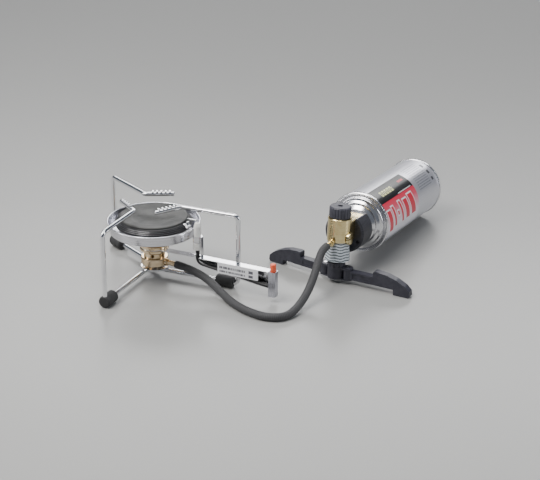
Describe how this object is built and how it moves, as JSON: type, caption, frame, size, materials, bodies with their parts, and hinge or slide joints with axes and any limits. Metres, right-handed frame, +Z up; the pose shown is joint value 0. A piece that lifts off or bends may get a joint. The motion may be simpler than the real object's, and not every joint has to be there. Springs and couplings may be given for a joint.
{
  "type": "canister stove",
  "caption": "Remote-canister camping stove: wire-legged burner with piezo igniter, braided hose, and a valve on a folding stand that holds a gas can lying on its side.",
  "frame": {"origin": "On the floor, in the middle of the stove's plan, measured without the hose.", "axes": "+X runs from the burner towards the valve, +Y away from the knob side towards the can's far end, +Z up."},
  "size_m": [0.3823, 0.3109, 0.0867],
  "materials": {
    "bowl_steel": "polished",
    "cast_grey": "as cast",
    "port_dark": "fine rings of ports",
    "cap_grey": "matt, heat-proof",
    "brass": "machined",
    "plate_steel": "bright plated",
    "wire_chrome": "bright chrome",
    "foot_rubber": "matt",
    "ceramic": "glazed ceramic",
    "case_steel": "satin",
    "ivory_plastic": "moulded",
    "button_red": "glossy",
    "lead_black": "sleeved",
    "label_white": "printed film",
    "hose_braid": "braided cover over rubber",
    "seal_rubber": "matt",
    "knob_black": "satin",
    "screw_dark": "blackened",
    "adapter_black": "moulded",
    "post_grey": "satin",
    "tag_grey": "printed film",
    "stand_black": "moulded",
    "can_print": "printed and lacquered",
    "can_tin": "tinplate",
    "stem_white": "moulded"
  },
  "bodies": {
    "base": {"burner_bowl": "bowl_steel", "burner_base": "cast_grey", "port_ring": "port_dark", "burner_cap": "cap_grey", "mixer_tube": "brass", "strap_nut": "brass", "gas_block": "brass", "gas_jet": "brass", "burner_hose_tail": "brass", "leg_hub": "plate_steel", "hub_screw": "plate_steel", "electrode_holder": "ceramic", "electrode_clip": "plate_steel", "electrode_rod": "plate_steel", "igniter_bracket": "plate_steel", "bracket_rivets": "plate_steel", "piezo_case": "case_steel", "piezo_unit": "ivory_plastic", "button_spring": "plate_steel", "ignition_lead": "lead_black", "ground_lead": "lead_black", "bracket_label": "label_white", "hose": "hose_braid", "valve_body": "brass", "spindle_seal": "seal_rubber", "gland_nut": "brass", "side_plug": "brass", "valve_hose_tail": "brass", "adapter_shell": "adapter_black", "can_nozzle": "brass", "nozzle_seal": "seal_rubber", "valve_post": "post_grey", "tag_sleeve": "tag_grey", "stand_hub": "stand_black", "stand_pins": "plate_steel"},
    "leg_front": {"leg_wire_front": "wire_chrome", "foot_front": "foot_rubber"},
    "leg_right": {"leg_wire_right": "wire_chrome", "foot_right": "foot_rubber"},
    "leg_back": {"leg_wire_back": "wire_chrome", "foot_back": "foot_rubber"},
    "button": {"igniter_button": "button_red"},
    "knob": {"valve_spindle": "brass", "knob": "knob_black", "knob_screw": "screw_dark"},
    "stand_left": {"stand_leg_left": "stand_black"},
    "stand_right": {"stand_leg_right": "stand_black"},
    "can": {"can_body": "can_print", "can_dome": "can_tin", "can_base": "can_tin", "can_collar": "can_tin", "can_stem": "stem_white"}
  },
  "joints": [
    {"name": "fold_front", "type": "hinge", "parent": "base", "child": "leg_front", "pos_m": [-0.145, -0.058, 0.0105], "axis": [0, 0, 1], "range_deg": [-40, 0]},
    {"name": "fold_right", "type": "hinge", "parent": "base", "child": "leg_right", "pos_m": [-0.127, -0.058, 0.0105], "axis": [0, 0, 1], "range_deg": [0, 45]},
    {"name": "fold_back", "type": "hinge", "parent": "base", "child": "leg_back", "pos_m": [-0.13292, -0.04954, 0.0105], "axis": [0, 0, 1], "range_deg": [-30, 30]},
    {"name": "press_button", "type": "slide", "parent": "base", "child": "button", "axis": [0, 0, -1], "range_m": [0, 0.0035], "stiffness_N_per_m": 600, "deforming": ["button_spring"]},
    {"name": "knob_turn", "type": "hinge", "parent": "base", "child": "knob", "pos_m": [0.06177, -0.06216, 0.07823], "axis": [0.0353, 0.0681, 0.9971], "range_deg": [0, 315]},
    {"name": "swing_left", "type": "hinge", "parent": "base", "child": "stand_left", "pos_m": [0.04782, -0.05908, 0.0109], "axis": [0, 0, 1], "range_deg": [0, 45]},
    {"name": "swing_right", "type": "hinge", "parent": "base", "child": "stand_right", "pos_m": [0.07136, -0.07407, 0.0109], "axis": [0, 0, 1], "range_deg": [-75, 0]},
    {"name": "twist_can", "type": "hinge", "parent": "base", "child": "can", "pos_m": [0.0851, -0.01715, 0.04625], "axis": [0.4588, 0.8852, -0.0767], "range_deg": [0, 20]}
  ]
}
